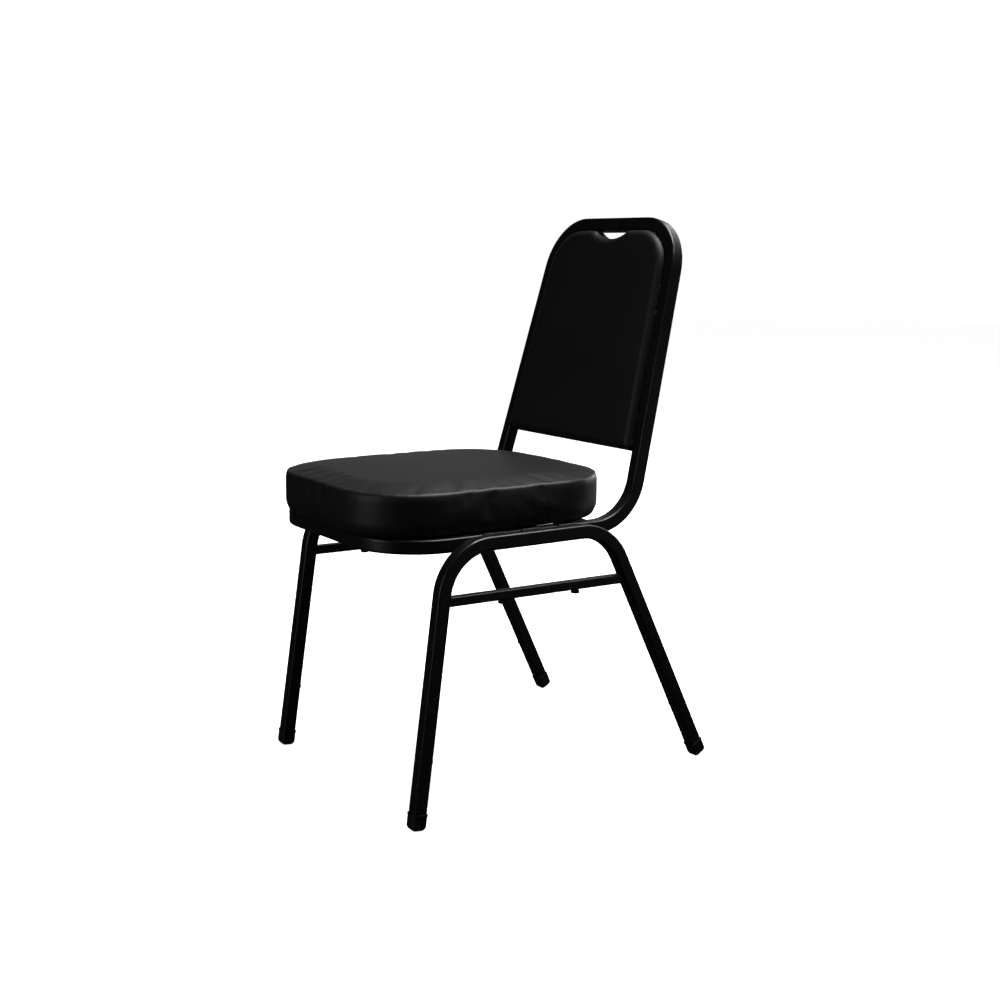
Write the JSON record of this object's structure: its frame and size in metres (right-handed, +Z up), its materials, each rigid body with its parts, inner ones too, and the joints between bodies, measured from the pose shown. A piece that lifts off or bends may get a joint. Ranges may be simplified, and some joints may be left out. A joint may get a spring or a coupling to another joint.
{
  "type": "stacking chair",
  "caption": "Stacking chair with a bent square-tube frame in black, a boxed vinyl seat cushion and a framed vinyl back pad with a hand hold in its top edge.",
  "frame": {"origin": "on the floor, under the middle of the chair's overall box", "axes": "+X to the sitter's left, -Y to the front of the seat, +Z up"},
  "size_m": [0.4748, 0.6108, 0.9018],
  "materials": {
    "frame_paint": "satin black powder coat",
    "vinyl": "fine-grained black vinyl, matte",
    "foam": "open-cell upholstery foam, matte",
    "plywood": "raw birch plywood, matte",
    "dust_cloth": "black non-woven cloth, matte",
    "panel_plastic": "black textured plastic, matte",
    "black_plastic": "black moulded plastic, satin",
    "cap_plastic": "black moulded plastic, satin, scuffed under the sole",
    "zinc_steel": "bright zinc plate"
  },
  "bodies": {
    "root": {"frame_loop": "frame_paint", "leg_frame_left": "frame_paint", "leg_frame_right": "frame_paint", "stretcher_left": "frame_paint", "stretcher_right": "frame_paint", "weld_beads_left": "frame_paint", "weld_beads_right": "frame_paint", "seat_bar_front": "frame_paint", "seat_bar_rear": "frame_paint", "back_tabs": "frame_paint", "seat_cover": "vinyl", "back_cover": "vinyl", "seat_foam": "foam", "back_foam": "foam", "seat_board": "plywood", "back_board": "plywood", "seat_dust_cover": "dust_cloth", "rear_panel": "panel_plastic", "seat_tee_nuts": "zinc_steel", "seat_washers": "zinc_steel", "seat_screws": "zinc_steel", "back_tee_nuts": "zinc_steel", "back_screws": "zinc_steel", "leg_bumper_front_left": "black_plastic", "stacking_button_front_left": "black_plastic", "foot_cap_front_left": "cap_plastic", "leg_bumper_front_right": "black_plastic", "stacking_button_front_right": "black_plastic", "foot_cap_front_right": "cap_plastic", "leg_bumper_rear_left": "black_plastic", "stacking_button_rear_left": "black_plastic", "foot_cap_rear_left": "cap_plastic", "leg_bumper_rear_right": "black_plastic", "stacking_button_rear_right": "black_plastic", "foot_cap_rear_right": "cap_plastic"}
  },
  "joints": []
}
